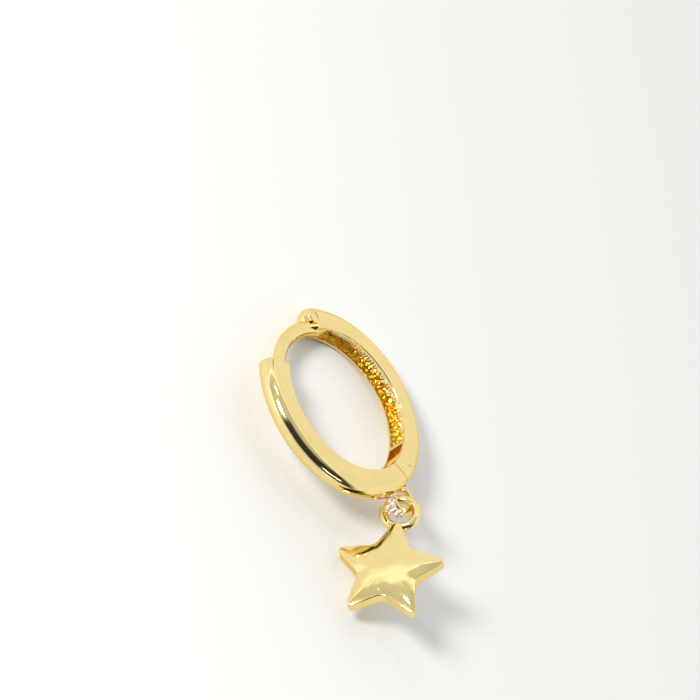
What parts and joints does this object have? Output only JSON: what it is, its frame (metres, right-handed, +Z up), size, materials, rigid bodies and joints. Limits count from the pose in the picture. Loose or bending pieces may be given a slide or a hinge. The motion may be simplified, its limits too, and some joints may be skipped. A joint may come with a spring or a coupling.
{
  "type": "hinged hoop earring with star charm",
  "caption": "Gold hinged hoop earring lying on a table, with a puffed star charm hanging on a small eye.",
  "frame": {"origin": "middle of the foot of the box round the lying earring, on the table's surface", "axes": "+Z up from the table, -Y from the hoop towards the charm, +X to the back half's side"},
  "size_m": [0.016, 0.0219, 0.0059],
  "materials": {
    "hoop_gold": "polished gold plate",
    "pin_gold": "filed flush and polished",
    "charm_gold": "polished gold plate, satin on the back"
  },
  "bodies": {
    "front": {"front_half": "hoop_gold", "star_charm": "charm_gold"},
    "back": {"back_half": "hoop_gold", "hinge_pin": "pin_gold"}
  },
  "joints": [
    {"name": "hoop_hinge", "type": "hinge", "parent": "front", "child": "back", "pos_m": [0.0022, -0.00275, 0.00252], "axis": [-0.1399, -0.1093, -0.9841], "range_deg": [0, 70]}
  ]
}
